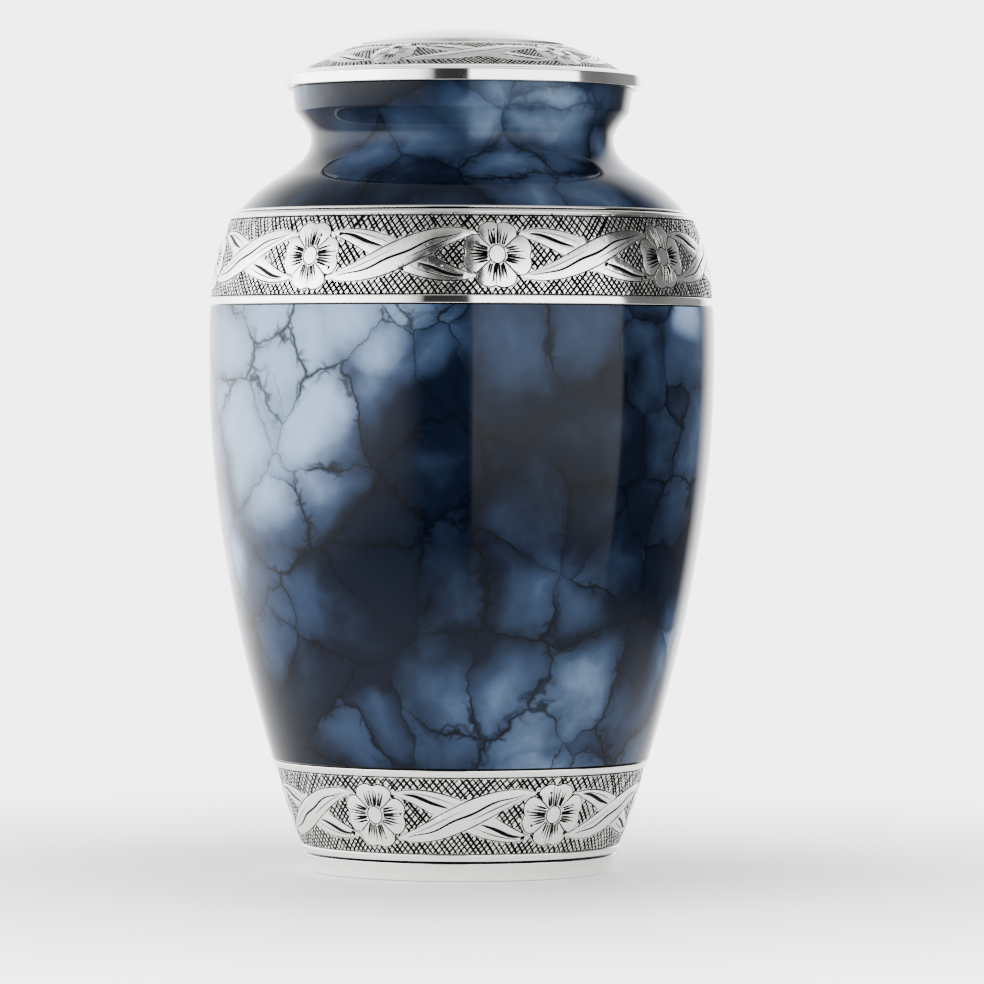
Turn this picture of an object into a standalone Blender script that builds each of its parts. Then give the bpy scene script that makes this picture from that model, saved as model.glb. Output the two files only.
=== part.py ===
"""Funeral urn: a cast and turned metal vessel with engraved flower bands, and its lift-off lid.

Metres, +Z up. The origin is on the urn's axis, at the level that the foot stands on.
"""

import math
from collections import namedtuple

import bmesh
import bpy
from mathutils import Vector

# Heights of the vessel's zones, stacked from the ground up
FOOT_RIM_HEIGHT = 0.0052
FOOT_BEAD_HEIGHT = 0.0024
FOOT_BAND_HEIGHT = 0.0230
BAND_RIM_HEIGHT = 0.0028
BELLY_HEIGHT = 0.1359
SHOULDER_BAND_HEIGHT = 0.0230
BAND_FILLET_HEIGHT = 0.0023
SHOULDER_HEIGHT = 0.0114
COVE_HEIGHT = 0.0110
NECK_RISE = 0.0080
COLLAR_HEIGHT = 0.0077

# Radii of the vessel, and how steeply it leaves the ground and meets the cove
FOOT_RADIUS = 0.0457
FOOT_FLARE = 0.36
BELLY_RADIUS = 0.0762
WIDEST_BELOW_BAND = 0.0160
SHOULDER_BAND_DROP = 0.0062
SHOULDER_BAND_SLOPE = -0.45
SHOULDER_SLOPE = -0.85
SHOULDER_STEP = 0.0012
COVE_SPREAD = 0.0088
COVE_SLOPE = -1.75
NECK_RADIUS = 0.0456
COLLAR_SPREAD = 0.0047
COLLAR_SLOPE = 0.80
COLLAR_FLARE = 0.0012

# Walls, floor and the recess turned in the underside
WALL = 0.0030
FLOOR_THICKNESS = 0.0035
FOOT_RING_WIDTH = 0.0075
FOOT_RECESS_DEPTH = 0.0022
FLOOR_CORNER = 0.0030
COLLAR_WALL = 0.0048
COLLAR_BORE_DEPTH = 0.0072

# Relief of the bands over and under the turned outline
RIM_PROUD = 0.00025
GROUND_DEPTH = 0.00060
LEAF_HEIGHT = 0.00055
LEAF_RIDGE = 0.00035
CROSSING_LIFT = 0.00025
PETAL_HEIGHT = 0.00075
BOSS_HEIGHT = 0.00050
RELIEF_ROOT = 0.0010
GROOVE_WIDTH = 0.0005
GROOVE_DEPTH = 0.0005

# Lid: a domed cover with a plain plug that drops into the collar
LID_OVERHANG = 0.0035
LID_RIM_HEIGHT = 0.0027
LID_RIM_RISE = 0.0015
LID_RIM_WIDTH = 0.0062
LID_DOME_HEIGHT = 0.0135
LID_EDGE_WIDTH = 0.0003
LID_BAND_WIDTH = 0.0145
LID_WALL = 0.0022
LID_EDGE_CHAMFER = 0.0004
PLUG_DEPTH = 0.0060
PLUG_WALL = 0.0025
PLUG_CLEARANCE = 0.0005
SEAT_GAP = 0.0003

# Ornament: a flower, then two leaves that cross, repeated round each band
FLOWER_RADIUS = 0.0103
PETAL_NOTCH = 0.0010
PETAL_VALLEY = 0.0030
BOSS_RADIUS = 0.0026
LEAF_WIDTH = 0.0078
LEAF_RISE = 0.0068
LEAF_TUCK = 0.0074
LEAF_TIP_WIDTH = 0.0008
SHOULDER_FLOWERS = 8
FOOT_FLOWERS = 6
LID_FLOWERS = 5
SHOULDER_TURN = math.radians(-82.4)
FOOT_TURN = math.radians(-58.8)
LID_TURN = math.radians(-47.0)
LID_ORNAMENT_SCALE = 0.72

# Fineness of the turned and the carved forms
TURN_STEPS = 36
BELLY_STEPS = 7
BAND_STEPS = 2
CURVE_STEPS = 3
LINING_STEPS = 6
PETAL_POINTS = 16
BOSS_POINTS = 8
LEAF_STEPS = 4
MERGE_DISTANCE = 0.00001
PROBE = 0.00001

# Levels that follow from the stack of heights
foot_groove = FOOT_RIM_HEIGHT
foot_bead = foot_groove + GROOVE_WIDTH
foot_ground = foot_bead + FOOT_BEAD_HEIGHT
foot_band_top = foot_ground + FOOT_BAND_HEIGHT
belly_bottom = foot_band_top + BAND_RIM_HEIGHT
belly_top = belly_bottom + BELLY_HEIGHT
widest = belly_top - WIDEST_BELOW_BAND
shoulder_ground = belly_top + BAND_RIM_HEIGHT
shoulder_band_top = shoulder_ground + SHOULDER_BAND_HEIGHT
shoulder_bottom = shoulder_band_top + BAND_FILLET_HEIGHT
cove_bottom = shoulder_bottom + SHOULDER_HEIGHT
neck_level = cove_bottom + COVE_HEIGHT
collar_bottom = neck_level + NECK_RISE
collar_top = collar_bottom + COLLAR_HEIGHT
floor_top = FOOT_RECESS_DEPTH + FLOOR_THICKNESS

# Radii that follow from the neck, the belly and the walls
shoulder_band_radius = BELLY_RADIUS - SHOULDER_BAND_DROP
shoulder_radius = shoulder_band_radius + SHOULDER_BAND_SLOPE * BAND_FILLET_HEIGHT - SHOULDER_STEP
collar_bottom_radius = NECK_RADIUS + COLLAR_SPREAD
collar_radius = collar_bottom_radius + COLLAR_FLARE
collar_bore = collar_radius - COLLAR_WALL
foot_recess_radius = FOOT_RADIUS - FOOT_RING_WIDTH

# Levels and radii of the lid, from the collar that it sits on
lid_bottom = collar_top + SEAT_GAP
lid_rim_top = lid_bottom + LID_RIM_HEIGHT
dome_foot = lid_rim_top + LID_RIM_RISE
lid_top = dome_foot + LID_DOME_HEIGHT
lid_radius = collar_radius + LID_OVERHANG
dome_radius = lid_radius - LID_RIM_WIDTH
lid_band_outer = dome_radius - LID_EDGE_WIDTH
lid_band_inner = lid_band_outer - LID_BAND_WIDTH
plug_radius = collar_bore - PLUG_CLEARANCE
plug_bore = plug_radius - PLUG_WALL
dome_sphere = (dome_radius ** 2 + LID_DOME_HEIGHT ** 2) / (2 * LID_DOME_HEIGHT)

# A point of the turned outline: its level, its radius and its change of radius with height
Station = namedtuple("Station", "level radius slope")

BELLY_STATIONS = (
    Station(0.0, FOOT_RADIUS, FOOT_FLARE),
    Station(widest, BELLY_RADIUS, 0.0),
    Station(shoulder_band_top, shoulder_band_radius, SHOULDER_BAND_SLOPE),
    Station(shoulder_bottom, shoulder_band_radius + SHOULDER_BAND_SLOPE * BAND_FILLET_HEIGHT,
            SHOULDER_BAND_SLOPE),
)
SHOULDER_STATIONS = (
    Station(shoulder_bottom, shoulder_radius, SHOULDER_SLOPE),
    Station(cove_bottom, NECK_RADIUS + COVE_SPREAD, COVE_SLOPE),
    Station(neck_level, NECK_RADIUS, 0.0),
    Station(collar_bottom, collar_bottom_radius, COLLAR_SLOPE),
)

# An engraved band: where its face is, how wide its circle is, and how its ornament repeats and is scaled
Band = namedtuple("Band", "face radius flowers turn scale")


def outline_radius(level):
    """Radius of the turned outline at a level between the ground and the collar."""
    stations = BELLY_STATIONS if level <= shoulder_bottom else SHOULDER_STATIONS
    index = 0
    while index < len(stations) - 2 and level > stations[index + 1].level:
        index += 1
    low, high = stations[index], stations[index + 1]
    span = high.level - low.level
    t = (level - low.level) / span
    blend = t * t * (3 - 2 * t)
    low_pull = low.slope * span * t * (1 - t) ** 2
    high_pull = high.slope * span * t * t * (1 - t)
    return low.radius * (1 - blend) + high.radius * blend + low_pull - high_pull


def lining_radius(level):
    """Radius of the inner wall, a wall's thickness in from the outline, square to it."""
    slope = (outline_radius(level + PROBE) - outline_radius(level - PROBE)) / (2 * PROBE)
    return outline_radius(level) - WALL * math.hypot(1, slope)


def dome_level(radius):
    """Level of the lid's domed top at a radius."""
    return lid_top - dome_sphere + math.sqrt(dome_sphere ** 2 - radius ** 2)


def steps_between(start, end, steps):
    """Evenly spaced values from start to end, both included."""
    return [start + (end - start) * step / steps for step in range(steps + 1)]


def curve(levels, offset=0.0):
    """Outline points at some levels, moved out by an offset."""
    return [(outline_radius(level) + offset, level) for level in levels]


def vessel_profile():
    """The vessel's section: up the lining from the floor's middle, then down the outside."""
    lining = [(lining_radius(level), level) for level in
              steps_between(floor_top + FLOOR_CORNER, shoulder_band_top, LINING_STEPS)]
    throat = [(lining_radius(level), level) for level in
              steps_between(cove_bottom - SHOULDER_HEIGHT / 2, neck_level, CURVE_STEPS)]
    inside = [(0.0, floor_top), (lining_radius(floor_top) - FLOOR_CORNER, floor_top)]
    inside += lining + throat
    inside += [(collar_bore, collar_top - COLLAR_BORE_DEPTH), (collar_bore, collar_top)]

    collar = [(collar_radius, collar_top), (collar_bottom_radius, collar_bottom)]
    neck = curve(steps_between(collar_bottom, neck_level, CURVE_STEPS - 1)[1:])
    neck += curve(steps_between(neck_level, cove_bottom, CURVE_STEPS)[1:])
    shoulder = curve(steps_between(cove_bottom, shoulder_bottom + PROBE, CURVE_STEPS)[1:])
    outside = collar + neck + shoulder
    outside += curve([shoulder_bottom, shoulder_band_top], RIM_PROUD)
    outside += curve(steps_between(shoulder_band_top, shoulder_ground, BAND_STEPS), -GROUND_DEPTH)
    outside += curve([shoulder_ground, belly_top], RIM_PROUD)
    outside += curve(steps_between(belly_top, belly_bottom, BELLY_STEPS))
    outside += curve([belly_bottom, foot_band_top], RIM_PROUD - GROUND_DEPTH)
    outside += curve(steps_between(foot_band_top, foot_ground, BAND_STEPS), -2 * GROUND_DEPTH)
    outside += curve([foot_ground, foot_bead], RIM_PROUD - GROUND_DEPTH)
    outside += curve([foot_bead - GROOVE_WIDTH / 2], -GROUND_DEPTH - GROOVE_DEPTH)
    outside += curve([foot_groove], -GROUND_DEPTH)

    underside = [(FOOT_RADIUS - GROUND_DEPTH, 0.0), (foot_recess_radius, 0.0),
                 (foot_recess_radius - FOOT_RECESS_DEPTH, FOOT_RECESS_DEPTH), (0.0, FOOT_RECESS_DEPTH)]
    return inside + outside + underside


def lid_profile():
    """The lid's section: from the dome's middle out, round the rim, and back under the dome."""
    centre = [(radius, dome_level(radius)) for radius in
              steps_between(0.0, lid_band_inner, CURVE_STEPS - 1)]
    ground = [(radius, dome_level(radius) - GROUND_DEPTH) for radius in
              steps_between(lid_band_inner, lid_band_outer, BAND_STEPS)]
    rim = [(lid_band_outer, dome_level(lid_band_outer)), (dome_radius, dome_foot),
           (lid_radius - LID_EDGE_CHAMFER, lid_rim_top), (lid_radius, lid_rim_top - LID_EDGE_CHAMFER),
           (lid_radius, lid_bottom)]
    plug = [(plug_radius, lid_bottom), (plug_radius, lid_bottom - PLUG_DEPTH),
            (plug_bore, lid_bottom - PLUG_DEPTH)]
    hollow = [(radius, dome_level(radius) - LID_WALL - GROUND_DEPTH) for radius in
              steps_between(plug_bore, 0.0, CURVE_STEPS - 1)]
    return centre + ground + rim + plug + hollow


def shoulder_face(up):
    """Radius and level on the shoulder band, at a distance above its middle."""
    level = (shoulder_ground + shoulder_band_top) / 2 + up
    return outline_radius(level) - GROUND_DEPTH, level


def foot_face(up):
    """Radius and level on the foot band, at a distance above its middle."""
    level = (foot_ground + foot_band_top) / 2 + up
    return outline_radius(level) - 2 * GROUND_DEPTH, level


def lid_face(up):
    """Radius and level on the lid's band, at a distance up the dome from its middle."""
    middle = (lid_band_inner + lid_band_outer) / 2
    radius = middle - up * math.sqrt(1 - (middle / dome_sphere) ** 2)
    return radius, dome_level(radius) - GROUND_DEPTH


def place(band, turn, across, up, lift):
    """Point on a band: across and up are measured on its face, lift stands off it."""
    radius, level = band.face(up)
    next_radius, next_level = band.face(up + PROBE)
    run, rise = next_radius - radius, next_level - level
    radius += lift * rise / math.hypot(run, rise)
    level -= lift * run / math.hypot(run, rise)
    angle = turn + across / band.radius
    return Vector((radius * math.cos(angle), radius * math.sin(angle), level))


def add_ring(mesh, points):
    """A closed loop of edges through some points."""
    corners = [mesh.verts.new(point) for point in points]
    return [mesh.edges.new(pair) for pair in zip(corners, corners[1:] + corners[:1])]


def add_loft(mesh, rings):
    """Skin a row of rings, which may have unlike numbers of points, and close both ends."""
    loops = [add_ring(mesh, ring) for ring in rings]
    for lower, upper in zip(loops, loops[1:]):
        bmesh.ops.bridge_loops(mesh, edges=lower + upper)
    for end in (loops[0], loops[-1]):
        bmesh.ops.contextual_create(mesh, geom=end)


def polar(radius, turn):
    """Point of a flat outline at a radius and a turn round its middle."""
    return Vector((radius * math.cos(turn), radius * math.sin(turn)))


def add_flower(mesh, band, turn):
    """Four notched petals round a boss, standing on the band's ground."""
    reach = (FLOWER_RADIUS - PETAL_NOTCH, FLOWER_RADIUS, FLOWER_RADIUS - PETAL_VALLEY, FLOWER_RADIUS)
    petals = [polar(reach[point % len(reach)] * band.scale, 2 * math.pi * point / PETAL_POINTS)
              for point in range(PETAL_POINTS)]
    boss = [polar(BOSS_RADIUS * band.scale, 2 * math.pi * point / BOSS_POINTS)
            for point in range(BOSS_POINTS)]
    levels = ((boss, -RELIEF_ROOT), (petals, -RELIEF_ROOT), (petals, PETAL_HEIGHT), (boss, PETAL_HEIGHT),
              (boss, PETAL_HEIGHT + BOSS_HEIGHT))
    add_loft(mesh, [[place(band, turn, spot.x, spot.y, lift) for spot in outline]
                    for outline, lift in levels])


def add_leaf(mesh, band, turn, rise, lift):
    """A long leaf in a slow S from one flower's side to the next, ridged along its middle."""
    tuck = LEAF_TUCK * band.scale
    rise = rise * band.scale
    length = 2 * math.pi * band.radius / band.flowers - 2 * tuck
    rings = []
    for step in range(LEAF_STEPS + 1):
        t = step / LEAF_STEPS
        middle = Vector((tuck + length * t, -rise * math.cos(math.pi * t)))
        along = Vector((length, rise * math.pi * math.sin(math.pi * t))).normalized()
        side = Vector((-along.y, along.x))
        half = max(LEAF_WIDTH * band.scale * math.sin(math.pi * t), LEAF_TIP_WIDTH) / 2
        section = ((-half, -RELIEF_ROOT), (-half, lift), (0.0, lift + LEAF_RIDGE), (half, lift),
                   (half, -RELIEF_ROOT))
        spots = [(middle + side * offset, height) for offset, height in section]
        rings.append([place(band, turn, spot.x, spot.y, height) for spot, height in spots])
    add_loft(mesh, rings)


def add_under_leaf(mesh, band, turn):
    """The leaf that falls from left to right, and passes under the other."""
    add_leaf(mesh, band, turn, -LEAF_RISE, LEAF_HEIGHT)


def add_over_leaf(mesh, band, turn):
    """The leaf that climbs from left to right, over the other."""
    add_leaf(mesh, band, turn, LEAF_RISE, LEAF_HEIGHT + CROSSING_LIFT)


def make_ornament(name, band, add_motif, collection):
    """One motif all round a band as one mesh, to be joined to the turned form."""
    mesh = bmesh.new()
    for repeat in range(band.flowers):
        add_motif(mesh, band, band.turn + 2 * math.pi * repeat / band.flowers)
    bmesh.ops.recalc_face_normals(mesh, faces=mesh.faces)
    data = bpy.data.meshes.new(name)
    mesh.to_mesh(data)
    mesh.free()
    ornament = bpy.data.objects.new(name, data)
    ornament.hide_render = True
    ornament.display_type = "WIRE"
    collection.objects.link(ornament)
    return ornament


def make_turned(name, profile, material, collection):
    """A turned solid from its section, which the Screw modifier sweeps round the axis."""
    data = bpy.data.meshes.new(name)
    edges = [(index, index + 1) for index in range(len(profile) - 1)]
    data.from_pydata([(radius, 0.0, level) for radius, level in profile], edges, [])
    data.materials.append(material)
    turned = bpy.data.objects.new(name, data)
    collection.objects.link(turned)
    screw = turned.modifiers.new("turning", "SCREW")
    screw.axis = "Z"
    screw.steps = TURN_STEPS
    screw.render_steps = TURN_STEPS
    screw.use_merge_vertices = True
    screw.merge_threshold = MERGE_DISTANCE
    screw.use_smooth_shade = True
    return turned


def carve(turned, name, band, collection):
    """Fuse a band's leaves, then its flowers, into the turned solid."""
    motifs = (("under_leaves", add_under_leaf), ("over_leaves", add_over_leaf), ("flowers", add_flower))
    for motif, add_motif in motifs:
        fuse = turned.modifiers.new(name + "_" + motif, "BOOLEAN")
        fuse.operation = "UNION"
        fuse.solver = "EXACT"
        fuse.object = make_ornament(name + "_" + motif, band, add_motif, collection)


def make_material(name, color, metallic, roughness, coat):
    """A plain finish for one sub-part."""
    material = bpy.data.materials.new(name)
    material.use_nodes = True
    shader = material.node_tree.nodes["Principled BSDF"]
    shader.inputs["Base Color"].default_value = (*color, 1.0)
    shader.inputs["Metallic"].default_value = metallic
    shader.inputs["Roughness"].default_value = roughness
    shader.inputs["Coat Weight"].default_value = coat
    return material


def new_collection(name):
    """An empty collection under the scene's own."""
    collection = bpy.data.collections.new(name)
    bpy.context.scene.collection.children.link(collection)
    return collection


def main():
    """Build the vessel and its lid."""
    for leftover in list(bpy.data.objects):
        bpy.data.objects.remove(leftover)
    urn = new_collection("funeral_urn")
    ornaments = new_collection("ornaments")

    enamel = make_material("blue_marbled_enamel", (0.075, 0.125, 0.220), 0.0, 0.12, 1.0)
    metal = make_material("engraved_polished_metal", (0.720, 0.710, 0.690), 1.0, 0.20, 0.0)

    shoulder_band = Band(shoulder_face, shoulder_face(0.0)[0], SHOULDER_FLOWERS, SHOULDER_TURN, 1.0)
    foot_band = Band(foot_face, foot_face(0.0)[0], FOOT_FLOWERS, FOOT_TURN, 1.0)
    lid_band = Band(lid_face, lid_face(0.0)[0], LID_FLOWERS, LID_TURN, LID_ORNAMENT_SCALE)

    vessel = make_turned("urn_body", vessel_profile(), enamel, urn)
    carve(vessel, "shoulder", shoulder_band, ornaments)
    carve(vessel, "foot", foot_band, ornaments)

    lid = make_turned("lid", lid_profile(), metal, urn)
    carve(lid, "lid", lid_band, ornaments)


main()
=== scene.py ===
"""Engraved funeral urn: a marbled enamel vessel with engraved metal bands, and its lid."""

import math
import random

import bmesh
import bpy
import numpy as np
from bpy.props import FloatProperty, FloatVectorProperty, IntProperty, PointerProperty
from mathutils import Matrix, Vector
from mathutils.geometry import delaunay_2d_cdt


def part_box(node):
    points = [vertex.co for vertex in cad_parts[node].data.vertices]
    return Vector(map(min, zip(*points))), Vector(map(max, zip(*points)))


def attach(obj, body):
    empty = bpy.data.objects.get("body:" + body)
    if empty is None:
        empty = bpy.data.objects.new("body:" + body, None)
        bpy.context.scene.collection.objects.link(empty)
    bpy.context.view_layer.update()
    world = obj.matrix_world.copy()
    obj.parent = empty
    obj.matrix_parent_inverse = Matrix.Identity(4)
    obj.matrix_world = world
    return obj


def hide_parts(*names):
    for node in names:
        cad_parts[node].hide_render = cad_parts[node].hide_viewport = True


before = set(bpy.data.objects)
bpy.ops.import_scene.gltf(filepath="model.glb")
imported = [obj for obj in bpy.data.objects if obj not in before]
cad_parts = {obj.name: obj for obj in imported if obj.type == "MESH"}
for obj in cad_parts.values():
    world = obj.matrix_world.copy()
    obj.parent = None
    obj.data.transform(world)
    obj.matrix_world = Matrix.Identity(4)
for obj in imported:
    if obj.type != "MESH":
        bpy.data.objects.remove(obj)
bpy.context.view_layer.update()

bl_info = {
    "name": "Engraved Funeral Urn",
    "version": (1, 0, 0),
    "blender": (4, 5, 0),
    "location": "View3D > Sidebar > Urn",
    "description": "Builds a turned metal urn with marbled enamel and engraved flower bands",
    "category": "Add Mesh",
}

BODY_LOW, BODY_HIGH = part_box("urn_body")
LID_LOW, LID_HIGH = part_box("lid")
MM = 0.001


def length(name, description, default):
    """A length that a user may change, in metres."""
    return FloatProperty(name=name, description=description, default=default, min=0.0, unit="LENGTH",
                         precision=5)


def ratio(name, description, default):
    """A slope or a share that a user may change."""
    return FloatProperty(name=name, description=description, default=default)


def count(name, description, default):
    """A number of pieces that a user may change."""
    return IntProperty(name=name, description=description, default=default, min=1)


def turn(name, description, degrees):
    """An angle round the axis that a user may change."""
    return FloatProperty(name=name, description=description, default=math.radians(degrees), unit="ROTATION")


def hex_color(text):
    """Linear colour from an sRGB hex value."""
    channels = [int(text[index:index + 2], 16) / 255 for index in (1, 3, 5)]
    linear = [c / 12.92 if c <= 0.04045 else ((c + 0.055) / 1.055) ** 2.4 for c in channels]
    return (*linear, 1.0)


def color(name, description, text):
    """A colour that a user may change."""
    return FloatVectorProperty(name=name, description=description, default=hex_color(text)[:3],
                               subtype="COLOR", size=3, min=0.0, max=1.0)


class UrnSizes(bpy.types.PropertyGroup):
    """Turned outline of the vessel, zone by zone from the ground up."""

    foot_rim: length("Foot rim", "Height of the polished rim at the ground", 5.2 * MM)
    foot_bead: length("Foot bead", "Height of the bead over the foot rim, with its groove", 2.9 * MM)
    foot_field: length("Foot field", "Height of the foot band's engraved field", 23.0 * MM)
    band_rim: length("Band rim", "Height of the polished rim next to the belly", 2.8 * MM)
    shoulder_field: length("Shoulder field", "Height of the shoulder band's field", 23.0 * MM)
    fillet: length("Fillet", "Height of the polished fillet over the shoulder field", 2.3 * MM)
    shoulder: length("Shoulder", "Height from the shoulder band to the cove", 11.4 * MM)
    cove: length("Cove", "Height of the cove under the neck's narrowest circle", 11.0 * MM)
    neck_rise: length("Neck rise", "Height from the neck's narrowest circle to the collar", 8.0 * MM)
    collar: length("Collar", "Height of the collar", 7.7 * MM)
    foot_radius: length("Foot radius", "Radius where the urn meets the ground", 45.7 * MM)
    foot_flare: ratio("Foot flare", "Radius gained per unit of height at the ground", 0.36)
    belly_radius: length("Belly radius", "Radius at the widest circle", (BODY_HIGH.x - BODY_LOW.x) / 2)
    widest_below: length("Widest below", "Widest circle, below the shoulder band", 16.0 * MM)
    band_drop: length("Band drop", "How far the shoulder band draws in at its top", 6.2 * MM)
    band_slope: ratio("Band slope", "Slope of the outline at the shoulder band's top", -0.45)
    shoulder_slope: ratio("Shoulder slope", "Slope of the outline where the shoulder starts", -0.85)
    shoulder_step: length("Shoulder step", "Step in from the fillet to the shoulder", 1.2 * MM)
    cove_spread: length("Cove spread", "How far the cove's foot stands out from the neck", 8.8 * MM)
    cove_slope: ratio("Cove slope", "Slope of the outline at the cove's foot", -1.75)
    neck_radius: length("Neck radius", "Radius at the neck's narrowest circle", 45.6 * MM)
    collar_spread: length("Collar spread", "How far the collar's foot stands out from the neck", 4.7 * MM)
    collar_slope: ratio("Collar slope", "Slope of the neck where it meets the collar", 0.80)
    collar_flare: length("Collar flare", "How much wider the collar is at its top", 1.2 * MM)
    wall: length("Wall", "Thickness of the cast wall", 3.0 * MM)
    floor: length("Floor", "Thickness of the floor", 3.5 * MM)
    foot_ring: length("Foot ring", "Width of the ring that the urn stands on", 7.5 * MM)
    recess: length("Recess", "Depth of the recess in the underside", 2.2 * MM)
    collar_wall: length("Collar wall", "Thickness of the collar", 4.8 * MM)
    bore_depth: length("Bore depth", "Depth of the bore that takes the lid's plug", 7.2 * MM)


class LidSizes(bpy.types.PropertyGroup):
    """Section of the lid, from the rim in."""

    rim: length("Rim", "Height of the rim's edge", 2.7 * MM)
    rim_rise: length("Rim rise", "How far the rim climbs to the dome", 1.5 * MM)
    rim_width: length("Rim width", "Width of the rim outside the dome", 6.2 * MM)
    edge: length("Edge", "Width of the plain edge outside the engraved field", 0.3 * MM)
    field: length("Field", "Width of the engraved field", 14.5 * MM)
    fillet: length("Fillet", "Width of the polished fillet inside the field", 3.4 * MM)
    groove: length("Groove", "From the dome's foot out to the groove in the rim", 3.2 * MM)
    wall: length("Wall", "Thickness of the dome", 2.2 * MM)
    plug: length("Plug", "Depth of the plug under the rim", 6.0 * MM)
    plug_wall: length("Plug wall", "Thickness of the plug", 2.5 * MM)
    lip: length("Lip", "How far the rim's edge hangs down outside the collar", 0.75 * MM)
    clearance: length("Clearance", "Gap round the plug in the collar's bore", 0.5 * MM)


class OrnamentSizes(bpy.types.PropertyGroup):
    """Flowers, leaves and cross-hatching cut into the bands."""

    flower: length("Flower", "Radius of a flower", 10.2 * MM)
    leaf_width: length("Leaf width", "Width of a leaf at its middle", 7.8 * MM)
    leaf_rise: length("Leaf rise", "How far a leaf climbs either side of the band's middle", 6.7 * MM)
    hatch_gap: length("Hatch gap", "Distance from one hatching cut to the next, along the band", 1.95 * MM)
    hatch_width: length("Hatch width", "Width of a hatching cut", 0.76 * MM)
    cut_depth: length("Cut depth", "Depth of a hatching cut", 0.24 * MM)
    ground_drop: length("Ground drop", "How far the hatched ground lies under the flowers", 0.12 * MM)
    shoulder_flowers: count("Shoulder flowers", "Flowers round the shoulder", 8)
    foot_flowers: count("Foot flowers", "Flowers round the foot", 6)
    lid_flowers: count("Lid flowers", "Flowers round the lid", 5)
    shoulder_turn: turn("Shoulder turn", "Angle of the first shoulder flower", -82.0)
    foot_turn: turn("Foot turn", "Angle of the first foot flower", -58.8)
    lid_turn: turn("Lid turn", "Angle of the first lid flower", -47.0)
    lid_scale: ratio("Lid scale", "Size of the lid's ornament, against the vessel's", 0.72)


class FinishColors(bpy.types.PropertyGroup):
    """Colours of the enamel's clouds and veins, and of the metal."""

    enamel_deep: color("Deep enamel", "Darkest clouds of the enamel", "#080e1b")
    enamel_middle: color("Middle enamel", "Most of the enamel", "#28364d")
    enamel_light: color("Light enamel", "Lightest clouds of the enamel", "#88a1c0")
    vein: color("Vein", "Thin dark veins between the clouds", "#04070e")
    metal: color("Metal", "Polished metal", "#f8f7f4")
    patina: color("Patina", "Darkened metal in the cuts", "#0f0e0d")


# Turned outline

def even(start, end, steps):
    """Evenly spaced values from start to end, both among them."""
    return [start + (end - start) * step / steps for step in range(steps + 1)]


class Outline:
    """Levels, radii and curve of the turned vessel, worked out from its sizes."""

    def __init__(self, sizes):
        self.foot_groove = sizes.foot_rim
        self.foot_field = sizes.foot_rim + sizes.foot_bead
        self.foot_field_top = self.foot_field + sizes.foot_field
        self.belly_bottom = self.foot_field_top + sizes.band_rim
        self.collar_top = BODY_HIGH.z
        self.collar_bottom = self.collar_top - sizes.collar
        self.neck = self.collar_bottom - sizes.neck_rise
        self.cove = self.neck - sizes.cove
        self.shoulder = self.cove - sizes.shoulder
        self.shoulder_field_top = self.shoulder - sizes.fillet
        self.shoulder_field = self.shoulder_field_top - sizes.shoulder_field
        self.belly_top = self.shoulder_field - sizes.band_rim
        band_radius = sizes.belly_radius - sizes.band_drop
        fillet_radius = band_radius + sizes.band_slope * sizes.fillet
        self.collar_bottom_radius = sizes.neck_radius + sizes.collar_spread
        self.collar_radius = self.collar_bottom_radius + sizes.collar_flare
        self.collar_bore = self.collar_radius - sizes.collar_wall
        self.lower = (
            (0.0, sizes.foot_radius, sizes.foot_flare),
            (self.belly_top - sizes.widest_below, sizes.belly_radius, 0.0),
            (self.shoulder_field_top, band_radius, sizes.band_slope),
            (self.shoulder, fillet_radius, sizes.band_slope),
        )
        self.upper = (
            (self.shoulder, fillet_radius - sizes.shoulder_step, sizes.shoulder_slope),
            (self.cove, sizes.neck_radius + sizes.cove_spread, sizes.cove_slope),
            (self.neck, sizes.neck_radius, 0.0),
            (self.collar_bottom, self.collar_bottom_radius, sizes.collar_slope),
        )

    def radius(self, level):
        """Radius of the outline at a level, on a cubic between the two stations round it."""
        stations = self.lower if level <= self.shoulder else self.upper
        index = 0
        while index < len(stations) - 2 and level > stations[index + 1][0]:
            index += 1
        (z0, r0, s0), (z1, r1, s1) = stations[index], stations[index + 1]
        span = z1 - z0
        t = (level - z0) / span
        blend = t * t * (3 - 2 * t)
        pull = s0 * t * (1 - t) ** 2 - s1 * t * t * (1 - t)
        return r0 * (1 - blend) + r1 * blend + span * pull

    def curve(self, start, end, steps):
        """Points of the outline from one level to another."""
        return [(self.radius(level), level) for level in even(start, end, steps)]

    def lining(self, level, wall):
        """Radius of the inner wall, square in from the outline."""
        side = -PROBE if level <= self.shoulder else PROBE
        slope = (self.radius(level + side) - self.radius(level)) / side
        return self.radius(level) - wall * math.hypot(1, slope)


class Dome:
    """Levels and radii of the lid, worked out from its sizes and the collar's."""

    def __init__(self, sizes, outline):
        self.bottom = LID_LOW.z + sizes.plug
        self.rim_top = self.bottom + sizes.rim
        self.foot = self.rim_top + sizes.rim_rise
        self.top = LID_HIGH.z
        self.radius = (LID_HIGH.x - LID_LOW.x) / 2
        self.foot_radius = self.radius - sizes.rim_width
        self.outer = self.foot_radius - sizes.edge
        self.inner = self.outer - sizes.field
        self.plug_radius = outline.collar_bore - sizes.clearance
        self.plug_bore = self.plug_radius - sizes.plug_wall
        rise = self.top - self.foot
        self.sphere = (self.foot_radius ** 2 + rise ** 2) / (2 * rise)

    def level(self, radius):
        """Level of the domed top at a radius."""
        return self.top - self.sphere + math.sqrt(self.sphere ** 2 - radius ** 2)

    def curve(self, start, end, steps, offset=0.0):
        """Points of the dome from one radius to another, moved up by an offset."""
        return [(radius, self.level(radius) + offset) for radius in even(start, end, steps)]


# Shared modelling

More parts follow.
